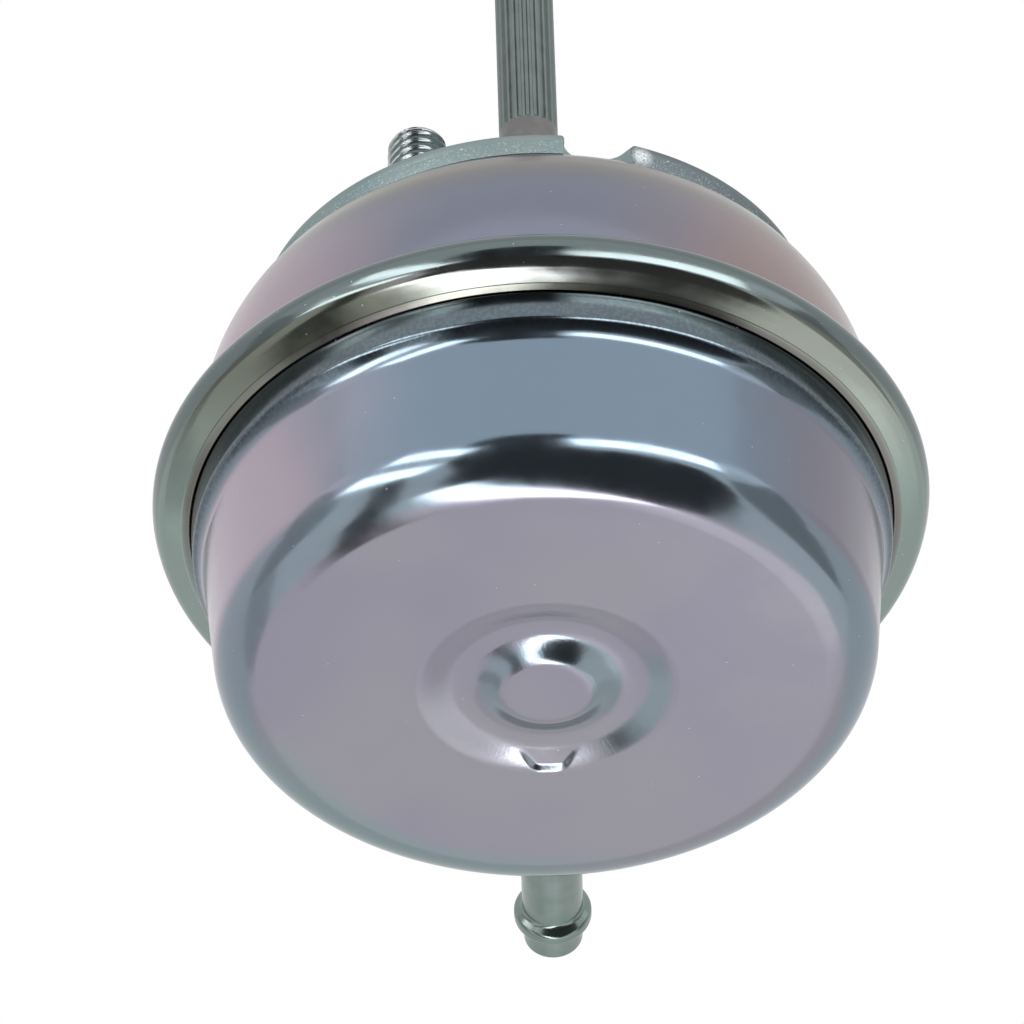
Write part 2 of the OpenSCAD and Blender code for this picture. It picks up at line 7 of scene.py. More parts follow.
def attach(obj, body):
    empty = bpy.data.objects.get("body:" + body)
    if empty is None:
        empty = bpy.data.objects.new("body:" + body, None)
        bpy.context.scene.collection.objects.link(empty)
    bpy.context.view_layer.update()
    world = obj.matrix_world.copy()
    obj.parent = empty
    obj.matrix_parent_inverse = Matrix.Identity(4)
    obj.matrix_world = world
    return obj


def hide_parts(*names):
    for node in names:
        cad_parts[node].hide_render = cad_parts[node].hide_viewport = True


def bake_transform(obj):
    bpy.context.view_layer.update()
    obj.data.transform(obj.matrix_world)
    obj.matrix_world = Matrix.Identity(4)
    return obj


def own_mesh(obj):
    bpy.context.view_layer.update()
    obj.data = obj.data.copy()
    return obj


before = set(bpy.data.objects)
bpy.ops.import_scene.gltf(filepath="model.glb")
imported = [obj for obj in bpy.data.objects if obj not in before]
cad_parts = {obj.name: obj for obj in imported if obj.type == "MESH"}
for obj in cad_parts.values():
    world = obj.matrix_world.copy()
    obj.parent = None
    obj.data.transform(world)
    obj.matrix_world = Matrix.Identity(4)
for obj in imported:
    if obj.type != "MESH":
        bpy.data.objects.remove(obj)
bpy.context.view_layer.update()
mm = 0.001
print("packed frame loaded")


# small helpers

def linearColour(hexText):
    # sRGB hex to the linear values that the shaders take
    values = [int(hexText[i:i + 2], 16) / 255 for i in (1, 3, 5)]
    return [v / 12.92 if v <= 0.04045 else ((v + 0.055) / 1.055) ** 2.4 for v in values] + [1.0]


def addNode(tree, kind, inputs=None, **settings):
    # one shader node; an input takes a value, an output, or a node and then its first output in use
    node = tree.nodes.new("ShaderNode" + kind)
    for name, value in settings.items():
        setattr(node, name, value)
    for socket, value in (inputs or {}).items():
        if isinstance(value, bpy.types.Node):
            value = next(output for output in value.outputs if output.enabled)
        if isinstance(value, bpy.types.NodeSocket):
            tree.links.new(value, node.inputs[socket])
        else:
            node.inputs[socket].default_value = value
    return node


def newMaterial(name):
    material = bpy.data.materials.new(name)
    material.use_nodes = True
    material.node_tree.nodes.clear()
    return material, material.node_tree


def meshObject(name, vertices, faces, material, sharpAngle=35):
    # millimetres in, metres out, smooth shading broken at sharp corners
    mesh = bpy.data.meshes.new(name)
    mesh.from_pydata([Vector(v) * mm for v in vertices], [], faces)
    bm = bmesh.new()
    bm.from_mesh(mesh)
    bmesh.ops.remove_doubles(bm, verts=bm.verts, dist=1e-7)
    bmesh.ops.dissolve_degenerate(bm, edges=bm.edges, dist=1e-7)
    bmesh.ops.recalc_face_normals(bm, faces=bm.faces)
    for face in bm.faces:
        face.smooth = True
    for edge in bm.edges:
        edge.smooth = edge.is_manifold and edge.calc_face_angle(0) < math.radians(sharpAngle)
    bm.to_mesh(mesh)
    bm.free()
    piece = bpy.data.objects.new(name, mesh)
    bpy.context.scene.collection.objects.link(piece)
    piece.data.materials.clear()
    piece.data.materials.append(material)
    return piece


def smoothStep(low, high, value):
    t = min(1.0, max(0.0, (value - low) / (high - low)))
    return t * t * (3 - 2 * t)


def bentPath(path, step=3.0, holdAt=0.04, spacing=2.0):
    # [radius, height, bend radius] corners to points; holding points keep flats flat
    points = []
    last = len(path) - 1
    for i, (r, z, bend) in enumerate(path):
        corner = Vector((r, z))
        if i in (0, last) or bend <= 0:
            points.append([corner])
            continue
        before = (Vector(path[i - 1][:2]) - corner).normalized()
        after = (Vector(path[i + 1][:2]) - corner).normalized()
        half = math.acos(max(-1, min(1, before.dot(after)))) / 2
        centre = corner + (before + after).normalized() * bend / math.sin(half)
        start = corner + before * bend / math.tan(half) - centre
        turn = (math.pi - 2 * half) * math.copysign(1, -before.x * after.y + before.y * after.x)
        steps = max(2, math.ceil(abs(math.degrees(turn)) / step))
        arc = []
        for k in range(steps + 1):
            a = turn * k / steps
            arc.append(centre + Vector((start.x * math.cos(a) - start.y * math.sin(a),
                                        start.x * math.sin(a) + start.y * math.cos(a))))
        points.append(arc)
    joined = []
    for group in points:
        if joined:
            a, b = joined[-1], group[0]
            length = (b - a).length
            if length > 3 * holdAt:
                count = max(1, math.ceil(length / spacing))
                stops = [holdAt] + [length * k / count for k in range(1, count)] + [length - holdAt]
                joined += [a + (b - a) * s / length for s in stops]
        joined += group
    return joined


def besidePath(path, distance):
    # the same bent path moved sideways, each bend kept concentric
    moved = []
    last = len(path) - 1
    for i in range(len(path)):
        here = Vector(path[i][:2])
        into = here - Vector(path[i - 1][:2]) if i else Vector(path[1][:2]) - here
        into = into.normalized()
        out = (Vector(path[i + 1][:2]) - here).normalized() if i < last else into
        leftIn, leftOut = Vector((-into.y, into.x)), Vector((-out.y, out.x))
        place = here + distance * (leftIn + leftOut) / (1 + leftIn.dot(leftOut))
        side = into.x * out.y - into.y * out.x
        bend = path[i][2] - distance * (math.copysign(1, side) if abs(side) > 1e-9 else 0)
        moved.append((place.x, place.y, max(0, bend)))
    return moved


def lathe(name, profile, material, segments=192, closed=False, reshape=None):
    # turns a profile of (radius, height) points round the Z axis; reshape may then move a point's height
    vertices, rows, faces = [], [], []
    for r, z in profile:
        if r < 1e-4:
            rows.append([len(vertices)])
            vertices.append((0, 0, z))
        else:
            rows.append([len(vertices) + k for k in range(segments)])
            for k in range(segments):
                a = 2 * math.pi * k / segments
                vertices.append((r * math.cos(a), r * math.sin(a), z))
    if reshape:
        vertices = [(x, y, reshape(x, y, z)) for x, y, z in vertices]
    pairs = list(zip(rows[:-1], rows[1:])) + ([(rows[-1], rows[0])] if closed else [])
    for low, high in pairs:
        for k in range(segments):
            n = (k + 1) % segments
            if len(low) == 1 and len(high) == 1:
                break
            if len(low) == 1:
                faces.append((low[0], high[n], high[k]))
            elif len(high) == 1:
                faces.append((low[k], low[n], high[0]))
            else:
                faces.append((low[k], low[n], high[n], high[k]))
    return meshObject(name, vertices, faces, material)


def cutHole(piece, centre, axis, radius, length):
    # drills a round hole with a throwaway cutter
    bm = bmesh.new()
    bmesh.ops.create_cone(bm, cap_ends=True, segments=64, radius1=radius * mm, radius2=radius * mm,
                          depth=length * mm)
    turn = Vector((0, 0, 1)).rotation_difference(Vector(axis)).to_matrix().to_4x4()
    bm.transform(Matrix.Translation(Vector(centre) * mm) @ turn)
    mesh = bpy.data.meshes.new("drill")
    bm.to_mesh(mesh)
    bm.free()
    drill = bpy.data.objects.new("drill", mesh)
    bpy.context.scene.collection.objects.link(drill)
    cut = piece.modifiers.new("hole", "BOOLEAN")
    cut.operation, cut.solver, cut.object = "DIFFERENCE", "EXACT", drill
    bpy.context.view_layer.update()
    drilled = bpy.data.meshes.new_from_object(piece.evaluated_get(bpy.context.evaluated_depsgraph_get()))
    piece.modifiers.clear()
    piece.data = drilled
    bpy.data.objects.remove(drill)


# the photograph's camera

photoCamera = {
    "lowBy": 41.3,           # degrees that it looks up by
    "roll": 1.785,
    "distance": 786.5,       # mm to the can's flat face
    "faceAt": (3.410, -17.013),  # mm from the picture's middle to the face's centre
    "faceZ": -47.3,
    "lens": 287.5, "sensor": 36,
}


def viewAxes():
    low, roll = math.radians(photoCamera["lowBy"]), math.radians(photoCamera["roll"])
    ahead = Vector((0, math.cos(low), math.sin(low)))
    up = Vector((0, -math.sin(low), math.cos(low)))
    right = Vector((1, 0, 0))
    return (math.cos(roll) * right - math.sin(roll) * up, math.sin(roll) * right + math.cos(roll) * up, ahead)


def makeCamera():
    right, up, ahead = viewAxes()
    x, y = photoCamera["faceAt"]
    place = Vector((0, 0, photoCamera["faceZ"])) - x * right - y * up - photoCamera["distance"] * ahead
    data = bpy.data.cameras.new("photoCamera")
    data.lens, data.sensor_width = photoCamera["lens"], photoCamera["sensor"]
    data.clip_start, data.clip_end = 0.01, 50
    eye = bpy.data.objects.new("photoCamera", data)
    bpy.context.scene.collection.objects.link(eye)
    eye.matrix_world = Matrix.Translation(place * mm) @ Matrix((right, up, -ahead)).transposed().to_4x4()
    bpy.context.scene.camera = eye


makeCamera()
print("camera placed")


# studio: a white tent with one softbox, three strip lights and a dark opening for the camera

studio = {
    "lamps": [
        # name, degrees up, degrees right, tilt, length and width in degrees, brightness
        ("rightSoftbox", 47, 31, 17, 46, 14, 4.0),
        ("upperLeftStrip", 47, -34, -44, 31, 10, 4.0),
        ("lowerLeftStrip", 27, -48, -36, 35, 11, 4.0),
        ("lowerStrip", -52, -6, -57, 50, 12, 5.0),
    ],
    "lampDistance": 0.9,     # metres, from a point 30 mm below the plate
    "middle": -0.03,
    "cards": [
        # name, brightness, outline as (degrees right, degrees up)
        ("tentOpening", 0.07, [(-13, 59), (-2, 59), (8, 57), (5, 44), (7, 31), (14, 27), (38, 31), (50, 28),
                               (56, 10), (56, -8), (50, -28), (38, -46), (22, -64), (12, -69), (-3, -56),
                               (-16, -40), (-23, -18), (-24, 0), (-29, 20), (-22, 34), (-26, 44), (-21, 53)]),
        ("lowerFold", 0.62, [(-66, -66), (-48, -78), (-27, -88), (-21, -98), (-30, -103), (-66, -103)]),
        ("tentSeam", 0.14, [(-52, 12), (-45, -20), (-37, -50), (-21, -74), (-9, -85), (-6, -80), (-12, -70),
                            (-25, -48), (-34, -20), (-41, 12)]),
        ("lowerCloth", 1.35, [(4, -97), (6, -76), (14, -70), (34, -84), (30, -97)]),
        ("rightCloth", 1.3, [(50, 60), (56, 64), (70, 62), (70, 92), (60, 94), (52, 80)]),
        ("backCloth", 0.82, [(-88, 97), (88, 97), (88, 256), (-88, 256)]),
        ("leftEdge", 0.5, [(-88, -103), (-64, -103), (-64, 96), (-88, 96)]),
        ("rightEdge", 0.4, [(60, -103), (88, -103), (88, 96), (66, 96), (66, 56), (58, 30)]),
    ],
    "cardDistance": 1.1,
    "floorZ": -1.7,
    "floorHalf": 9.0,
    "tentGrey": 0.8,
}


def towards(elevation, side):
    # 0, 0 is the camera's own direction, 90 up is the picture's top
    right, up, ahead = viewAxes()
    el, sd = math.radians(elevation), math.radians(side)
    return (math.cos(sd) * (math.sin(el) * up - math.cos(el) * ahead) + math.sin(sd) * right).normalized()


def makeLamps():
    distance = studio["lampDistance"]
    for name, elevation, side, tilt, width, height, brightness in studio["lamps"]:
        data = bpy.data.lights.new(name, "AREA")
        data.shape = "RECTANGLE"
        data.size = 2 * distance * math.tan(math.radians(width / 2))
        data.size_y = 2 * distance * math.tan(math.radians(height / 2))
        data.energy = brightness * math.pi * data.size * data.size_y
        lamp = bpy.data.objects.new(name, data)
        bpy.context.scene.collection.objects.link(lamp)
        back = towards(elevation, side)
        across = towards(elevation, side + 1) - towards(elevation, side - 1)
        across = (across - across.dot(back) * back).normalized()
        above = back.cross(across)
        turn = Matrix.Rotation(math.radians(tilt), 3, back)
        axes = Matrix((turn @ across, turn @ above, back)).transposed().to_4x4()
        lamp.matrix_world = Matrix.Translation(back * distance + Vector((0, 0, studio["middle"]))) @ axes
        lamp.visible_camera = False


def makeCard(name, level, outline):
    # a piece of card or cloth round the object, seen only in reflections
    material, tree = newMaterial(name)
    glow = addNode(tree, "Emission", {"Color": [level] * 3 + [1], "Strength": 1.0})
    addNode(tree, "OutputMaterial", {"Surface": glow})
    corners = [Vector((x, y, 0)) for x, y in outline]
    middle = Vector((0, 0, studio["middle"]))
    bm = bmesh.new()
    for v in corners:
        bm.verts.new(v)
    bm.verts.ensure_lookup_table()
    for t in geometry.tessellate_polygon([corners]):
        bm.faces.new([bm.verts[i] for i in t])
    bmesh.ops.subdivide_edges(bm, edges=bm.edges, cuts=7, use_grid_fill=True)
    places = [(towards(v.co.y, v.co.x) * studio["cardDistance"] + middle) / mm for v in bm.verts]
    bm.verts.index_update()
    faces = [tuple(v.index for v in f.verts) for f in bm.faces]
    bm.free()
    card = meshObject(name, places, faces, material)
    card.visible_camera = False
    card.visible_shadow = False


def seenAsWhite(tree):
    # 1 for what the camera sees of the backdrop, straight or by way of metal and glass
    path = addNode(tree, "LightPath")
    seen = addNode(tree, "Math", {0: path.outputs["Is Camera Ray"], 1: path.outputs["Is Glossy Ray"]},
                   operation="MAXIMUM")
    return addNode(tree, "Math", {0: seen, 1: path.outputs["Is Transmission Ray"]}, operation="MAXIMUM")


def makeFloor():
    # pale paper floor far below; to the camera it is as white as the world
    material, tree = newMaterial("paleFloor")
    paper = addNode(tree, "BsdfDiffuse", {"Color": linearColour("#f4f4f4")})
    glow = addNode(tree, "Emission", {"Color": [1, 1, 1, 1], "Strength": 1.0})
    mix = addNode(tree, "MixShader", {0: seenAsWhite(tree), 1: paper, 2: glow})
    addNode(tree, "OutputMaterial", {"Surface": mix})
    z, half = studio["floorZ"] / mm, studio["floorHalf"] / mm
    meshObject("paleFloor", [(-half, -half, z), (half, -half, z), (half, half, z), (-half, half, z)],
                        [(0, 1, 2, 3)], material)


def makeWorld():
    world = bpy.data.worlds.new("whiteTent")
    bpy.context.scene.world = world
    world.use_nodes = True
    tree = world.node_tree
    tree.nodes.clear()
    soft = addNode(tree, "Background", {"Color": [studio["tentGrey"]] * 3 + [1], "Strength": 1.0})
    white = addNode(tree, "Background", {"Color": [1, 1, 1, 1], "Strength": 1.0})
    mix = addNode(tree, "MixShader", {0: seenAsWhite(tree), 1: soft, 2: white})
    addNode(tree, "OutputWorld", {"Surface": mix})


bpy.context.scene.view_settings.view_transform = "Standard"
makeWorld()
makeLamps()
for card in studio["cards"]:
    makeCard(*card)
makeFloor()
print("studio lit")


# materials

def objectPlace(tree):
    # object coordinates in millimetres, and the surface's own direction
    place = addNode(tree, "TexCoord")
    scaled = addNode(tree, "VectorMath", {0: place.outputs["Object"], "Scale": 1 / mm}, operation="SCALE")
    return scaled, place.outputs["Normal"]


def maskOf(tree, *parts):
    # product of masks; a part (value, low, high) rises softly from 0 at low to 1 at high
    mask = None
    for part in parts:
        if isinstance(part, tuple):
            value, low, high = part
            part = addNode(tree, "MapRange", {0: value, 1: low, 2: high}, interpolation_type="SMOOTHSTEP")
        mask = part if mask is None else addNode(tree, "Math", {0: mask, 1: part}, operation="MULTIPLY")
    return mask


def layTint(tree, under, tint, amount, *parts):
    # lays a tint over the colour below it, where the mask's parts let it show
    mask = maskOf(tree, *parts)
    if amount != 1:
        mask = addNode(tree, "Math", {0: mask, 1: amount}, operation="MULTIPLY")
    colours = [linearColour(c) if isinstance(c, str) else c for c in (under, tint)]
    return addNode(tree, "Mix", {0: mask, 6: colours[0], 7: colours[1]}, data_type="RGBA")


def addUp(tree, start, *parts):
    # start plus each (pattern, share of it)
    for pattern, share in parts:
        start = addNode(tree, "Math", {0: pattern, 1: share, 2: start}, operation="MULTIPLY_ADD")
    return start


def closeSurface(material, tree, colour, roughness, height, metallic=1.0):
    # heights are in millimetres
    bump = addNode(tree, "Bump", {"Height": height, "Strength": 1.0, "Distance": mm})
    surface = addNode(tree, "BsdfPrincipled", {"Base Color": colour, "Metallic": metallic,
                                               "Roughness": roughness, "Normal": bump})
    addNode(tree, "OutputMaterial", {"Surface": surface})
    return material


def zincFilm(name, colours, tuning):
    # bright zinc on drawn steel under a clear passivate: satin reflections, and a film whose
    # tint drifts from lilac on the flats to blue and pink round the walls
    material, tree = newMaterial(name)
    place, normal = objectPlace(tree)
    x, y, z = addNode(tree, "SeparateXYZ", {0: place}).outputs
    facingX, facingY, facingZ = addNode(tree, "SeparateXYZ", {0: normal}).outputs
    flat = addNode(tree, "Math", {0: facingZ}, operation="ABSOLUTE")
    sideways = addNode(tree, "VectorMath", {0: place, 1: (1, 1, 0)}, operation="MULTIPLY")
    radius = addNode(tree, "VectorMath", {0: sideways}, operation="LENGTH")
    drift = addNode(tree, "TexNoise", {"Vector": place, "Scale": 0.045})
    # round the wall: pink where it turns left, mauve where it turns right, blue at the front
    turned = addUp(tree, facingX, (drift, 0.5))
    wall = layTint(tree, colours["left"], colours["front"], 1, (turned, -0.6, -0.05))
    wall = layTint(tree, wall, colours["right"], 1, (turned, tuning["rightFrom"], tuning["rightFrom"] + 0.5))
    wall = layTint(tree, wall, colours["back"], 1, (facingY, 0.2, 0.8))
    face = layTint(tree, colours["flat"], colours["flatDrift"], 1, (drift, 0.35, 0.65))
    film = layTint(tree, wall, face, 1, (flat, tuning["flatFrom"], tuning["flatTo"]))
    # slate blue round the bends, where the film is stretched thin
    film = layTint(tree, film, "#83949f", tuning["bendTint"], (flat, 0.2, 0.45), (flat, 0.985, 0.88))
    # stamped recess: greenish on the slopes towards +X, but not on its wall at the front
    towardsRight = addNode(tree, "VectorMath", {0: place, 1: (1, -0.5, 0)}, operation="DOT_PRODUCT")
    frontWall = maskOf(tree, (radius, 9.0, 10.0), (y, -2.0, -6.0))
    elsewhere = addNode(tree, "Math", {0: 1.0, 1: frontWall}, operation="SUBTRACT")
    film = layTint(tree, film, "#85929a", 1, (towardsRight, -1.0, 5.0), (flat, 0.995, 0.965), elsewhere,
                   (radius, 13.2, 12.8))
    # sage edge where the face turns into the wall, away from the first stud
    farLeft = addNode(tree, "VectorMath", {0: place, 1: (-0.018, 0.03, 0)}, operation="DOT_PRODUCT")
    film = layTint(tree, film, "#869a9c", 0.8, (farLeft, 0.55, 0.95), (radius, 24.5, 27.5),
                   (flat, 0.55, 0.85))
    # dull, dusty band where the wall runs up under the rim, darkened with painted shade of the rim above; its
    # speckle is 0.4 mm coarse
    dustAndShade = addNode(tree, "TexNoise", {"Vector": place, "Scale": 2.4})
    dustAndShadeTone = layTint(tree, "#434c54", "#58656e", 1, (dustAndShade, 0.45, 0.6))
    film = layTint(tree, film, dustAndShadeTone, tuning["dustAndShade"], (z, -33.2, -29.9), (radius, 33.0, 34.1))
    # burnished rim: the crimping rolls rub the film thinner, to a pale sage; its darker olive towards the
    # front left and its darker upper edge are painted shade
    # painted shade: the rim darkens towards the front left
    left = layTint(tree, colours["rim"], colours["rimLeftShade"], 1, (y, -3.8, -26.6))
    right = layTint(tree, colours["rim"], colours["rimRight"], 1, (y, 0.0, -26.6))
    under = layTint(tree, right, left, 1, (x, 13.3, -3.8))
    under = layTint(tree, under, colours["rimFront"], 1, (y, -32.68, -36.86))
    # painted shade: the rim's upward and outward faces take the darker edge colour
    rimFilm = layTint(tree, colours["rimEdgeShade"], under, 1, (facingZ, -0.35, -0.7))
    rim = maskOf(tree, (radius, tuning["rimFrom"], tuning["rimFrom"] + 0.8))
    film = layTint(tree, film, rimFilm, 1, rim)
    # specks of dust and pinholes, about a tenth of a millimetre across
    cells = addNode(tree, "TexVoronoi", {"Vector": place, "Scale": 1.1, "Randomness": 1.0})
    chance = addNode(tree, "SeparateColor", {0: cells.outputs["Color"]})
    needed = addNode(tree, "MapRange", {0: rim, 3: 0.95, 4: 0.75}, interpolation_type="SMOOTHSTEP")
    picked = addNode(tree, "Math", {0: chance, 1: needed}, operation="GREATER_THAN")
    small = addNode(tree, "Math", {0: cells.outputs["Distance"], 1: 0.07}, operation="LESS_THAN")
    speck = maskOf(tree, small, picked)
    film = layTint(tree, film, "#dfe4e6", 0.55, speck)
    # surface of the recess, roughened where the stamping stretched it
    stretched = maskOf(tree, (radius, 13.6, 12.4), (radius, 3.6, 4.6), (z, -40, -44))
    patches = addNode(tree, "TexNoise", {"Vector": place, "Scale": 0.35, "Detail": 3.0})
    rough = addNode(tree, "MapRange", {0: patches, 1: 0.3, 2: 0.7, 3: tuning["roughness"] - 0.03,
                                       4: tuning["roughness"] + 0.03}, interpolation_type="SMOOTHSTEP")
    rough = addUp(tree, rough, (rim, -tuning["rimShine"]), (stretched, 0.03), (speck, 0.3))
    # grain of the plated sheet, really some hundredths of a millimetre and too fine to show, so
    # drawn at a sixth; the shallow waves of drawing, 6 mm long
    grain = addNode(tree, "TexNoise", {"Vector": place, "Scale": 6.0, "Roughness": 0.6})
    wave = addNode(tree, "TexNoise", {"Vector": place, "Scale": 0.16})
    pebbles = addNode(tree, "TexNoise", {"Vector": place, "Scale": 3.6, "Detail": 1.0})
    # strokes of the drawing die up the wall, half a millimetre apart
    drawn = addNode(tree, "VectorMath", {0: place, 1: (2.2, 2.2, 0.12)}, operation="MULTIPLY")
    strokes = addNode(tree, "TexNoise", {"Vector": drawn, "Scale": 1.0, "Detail": 3.0, "Roughness": 0.6})
    onWall = addNode(tree, "Math", {0: 1.0, 1: flat}, operation="SUBTRACT")
    height = addUp(tree, 0.0, (grain, tuning["grain"]), (wave, tuning["wave"]),
                   (maskOf(tree, pebbles, stretched), 0.006),
                   (maskOf(tree, strokes, onWall), tuning["strokes"]))
    return closeSurface(material, tree, film, rough, height)


def turnedSteel(name, colour, shade, roughness=0.25, ringsPerMm=5.0, axis=2, ringDepth=0.0015):
    # turned steel, zinc plated: fine tool rings round the axis that stretch the highlights;
    # the real ones are 0.1 mm apart, too fine to show, and are drawn about 0.2 mm apart
    material, tree = newMaterial(name)
    place = objectPlace(tree)[0]
    drift = addNode(tree, "TexNoise", {"Vector": place, "Scale": 0.4, "Detail": 3.0})
    tone = layTint(tree, colour, shade, 1, (drift, 0.3, 0.7))
    along = addNode(tree, "CombineXYZ", {0: addNode(tree, "SeparateXYZ", {0: place}).outputs[axis]})
    rings = addNode(tree, "TexNoise", {"Vector": along, "Scale": ringsPerMm, "Detail": 3.0})
    grain = addNode(tree, "TexNoise", {"Vector": place, "Scale": 7.0})
    rough = addNode(tree, "MapRange", {0: rings, 1: 0.3, 2: 0.7, 3: roughness - 0.05, 4: roughness + 0.05},
                    interpolation_type="SMOOTHSTEP")
    return closeSurface(material, tree, tone, rough, addUp(tree, 0.0, (rings, ringDepth), (grain, 0.0006)))


def shearedPlate():
    # cold-rolled plate, zinc plated: satin flats, and a sheared edge with a smooth upper band and a torn
    # lower one, its glitter painted on as near-white highlights
    material, tree = newMaterial("shearedZincPlate")
    place, normal = objectPlace(tree)
    x, y, z = addNode(tree, "SeparateXYZ", {0: place}).outputs
    facingZ = addNode(tree, "SeparateXYZ", {0: normal}).outputs[2]
    flat = addNode(tree, "Math", {0: facingZ}, operation="ABSOLUTE")
    sideways = addNode(tree, "VectorMath", {0: place, 1: (1, 1, 0)}, operation="MULTIPLY")
    radius = addNode(tree, "VectorMath", {0: sideways}, operation="LENGTH")
    onEdge = maskOf(tree, addNode(tree, "Math", {0: flat, 1: 0.5}, operation="LESS_THAN"),
                    addNode(tree, "Math", {0: radius, 1: 27.4}, operation="GREATER_THAN"))
    drift = addNode(tree, "TexNoise", {"Vector": place, "Scale": 0.12, "Detail": 3.0})
    tone = layTint(tree, "#86989a", "#92a0a0", 1, (drift, 0.3, 0.7))
    tone = layTint(tree, tone, "#758084", 1, (x, 3.0, 9.0), onEdge)
    # the torn band starts at a ragged height; its glitter is painted highlight, most of it on the burr line
    # between the bands
    grit = addNode(tree, "TexNoise", {"Vector": place, "Scale": 4.5, "Detail": 3.0, "Roughness": 0.7})
    ragged = addUp(tree, z, (addNode(tree, "TexNoise", {"Vector": place, "Scale": 2.2}), 0.35))
    torn = maskOf(tree, addNode(tree, "Math", {0: ragged, 1: -0.775}, operation="LESS_THAN"), onEdge)
    atBurr = addNode(tree, "Math", {0: ragged, 1: -0.875, 2: 0.13}, operation="COMPARE")
    burr = maskOf(tree, atBurr, onEdge, (grit, 0.6, 0.7))
    tornGlint = addUp(tree, 0.0, (maskOf(tree, torn, (grit, 0.56, 0.66)), 0.5))
    glint = addNode(tree, "Math", {0: tornGlint, 1: burr}, operation="MAXIMUM")
    # painted highlight on the corner beside the notch
    away = addNode(tree, "VectorMath", {0: place, 1: (10.9, -25.6, -1.3)}, operation="DISTANCE")
    glint = addNode(tree, "Math", {0: glint, 1: maskOf(tree, (away, 1.5, 0.2), onEdge, (grit, 0.3, 0.5))},
                    operation="MAXIMUM")
    # painted highlights: near-white laid on where the glints are
    tone = layTint(tree, tone, "#eef4f3", 0.8, glint)
    rough = addNode(tree, "MapRange", {0: drift, 1: 0.3, 2: 0.7, 3: 0.33, 4: 0.42},
                    interpolation_type="SMOOTHSTEP")
    fine = addNode(tree, "TexNoise", {"Vector": place, "Scale": 5.0})
    height = addUp(tree, 0.0, (maskOf(tree, grit, torn), 0.05), (fine, 0.0012))
    return closeSurface(material, tree, tone, addUp(tree, rough, (torn, 0.1)), height)


def dullSteel(name, colour, shade, roughness, grainMm=0.2, depth=0.003, mottleMm=2.5):
    # phosphated, forged or blasted steel: a fine even grain that dulls the light, and a soft
    # mottle; the grain is drawn at 0.1 to 0.4 mm, about twice its real size, so that it shows
    material, tree = newMaterial(name)
    place = objectPlace(tree)[0]
    mottle = addNode(tree, "TexNoise", {"Vector": place, "Scale": 1 / mottleMm, "Detail": 4.0,
                                        "Roughness": 0.6})
    tone = layTint(tree, colour, shade, 1, (mottle, 0.3, 0.7))
    grain = addNode(tree, "TexNoise", {"Vector": place, "Scale": 1 / grainMm, "Detail": 3.0,
                                       "Roughness": 0.6})
    rough = addNode(tree, "MapRange", {0: mottle, 1: 0.3, 2: 0.7, 3: roughness - 0.06, 4: roughness + 0.06},
                    interpolation_type="SMOOTHSTEP")
    return closeSurface(material, tree, tone, rough, addUp(tree, 0.0, (grain, depth)))


def mattSolid(name, colour, shade, roughness, grainMm, depth, metallic=0.0, weaveMm=0.0):
    # rubber, felt and sintered bronze: soft light, fibres or pores in the surface
    material, tree = newMaterial(name)
    place = objectPlace(tree)[0]
    pores = addNode(tree, "TexNoise", {"Vector": place, "Scale": 1 / grainMm, "Detail": 4.0,
                                       "Roughness": 0.65})
    tone = layTint(tree, colour, shade, 1, (pores, 0.35, 0.65))
    height = addUp(tree, 0.0, (pores, depth))
    if weaveMm:
        # fabric backing, a thread each weaveMm
        weave = addNode(tree, "TexWave", {"Vector": place, "Scale": 1 / weaveMm / 3.2, "Distortion": 0.4},
                        wave_type="BANDS", bands_direction="DIAGONAL")
        height = addUp(tree, height, (weave.outputs[1], depth))
    return closeSurface(material, tree, tone, roughness, height, metallic)


lowerZinc = zincFilm(
    "zincPlatedDrawnSteel",
    {"flat": "#93909f", "flatDrift": "#97969f", "front": "#7e8f9f", "left": "#b5a9b7", "right": "#837f8b",
     "back": "#8f9a9c", "rim": "#7f8c90", "rimFront": "#8b9092", "rimEdgeShade": "#7f8c90", "rimLeftShade": "#7f8c90",
     "rimRight": "#7f8c90"},
    # dust sets how much of the dusty, painted-shade band under the rim is laid on
    {"rightFrom": 0.7, "flatFrom": 0.35, "flatTo": 0.9, "bendTint": 0.8, "dustAndShade": 0.85, "rimFrom": 33.9,
     "roughness": 0.16, "rimShine": 0.03, "grain": 0.0009, "wave": 0.02, "strokes": 0.0012})
upperZinc = zincFilm(
    "zincPlatedCrimpedSteel",
    {"flat": "#807d7a", "flatDrift": "#7c7c75", "front": "#868a9a", "left": "#b3a3ac", "right": "#a08f8f",
     # the rim's darker edge and left colours are painted shade
     "back": "#858b86", "rim": "#909f9a", "rimFront": "#8f9291", "rimEdgeShade": "#707b7c", "rimLeftShade": "#70746a",
     "rimRight": "#9da39a"},
    {"rightFrom": 0.35, "flatFrom": 0.22, "flatTo": 0.5, "bendTint": 0.0, "dustAndShade": 0.0, "rimFrom": 34.7,
     "roughness": 0.17, "rimShine": 0.02, "grain": 0.0010, "wave": 0.02, "strokes": 0.0012})
plateZinc = shearedPlate()
nippleSteel = turnedSteel("turnedZincNipple", "#7f9089", "#8b9794", 0.2, 4.0, 1)
threadSteel = turnedSteel("rolledThreadSteel", "#c9cdce", "#b4b8b9", 0.16, 8.0, 2, 0.001)
housingSteel = turnedSteel("turnedZincHousing", "#8d9291", "#989b99", 0.27, 5.0, 2)
rodSmooth = dullSteel("drawnRodSteel", "#82807f", "#777777", 0.42)
rodRibs = dullSteel("phosphatedRibs", "#788382", "#858e8c", 0.45)
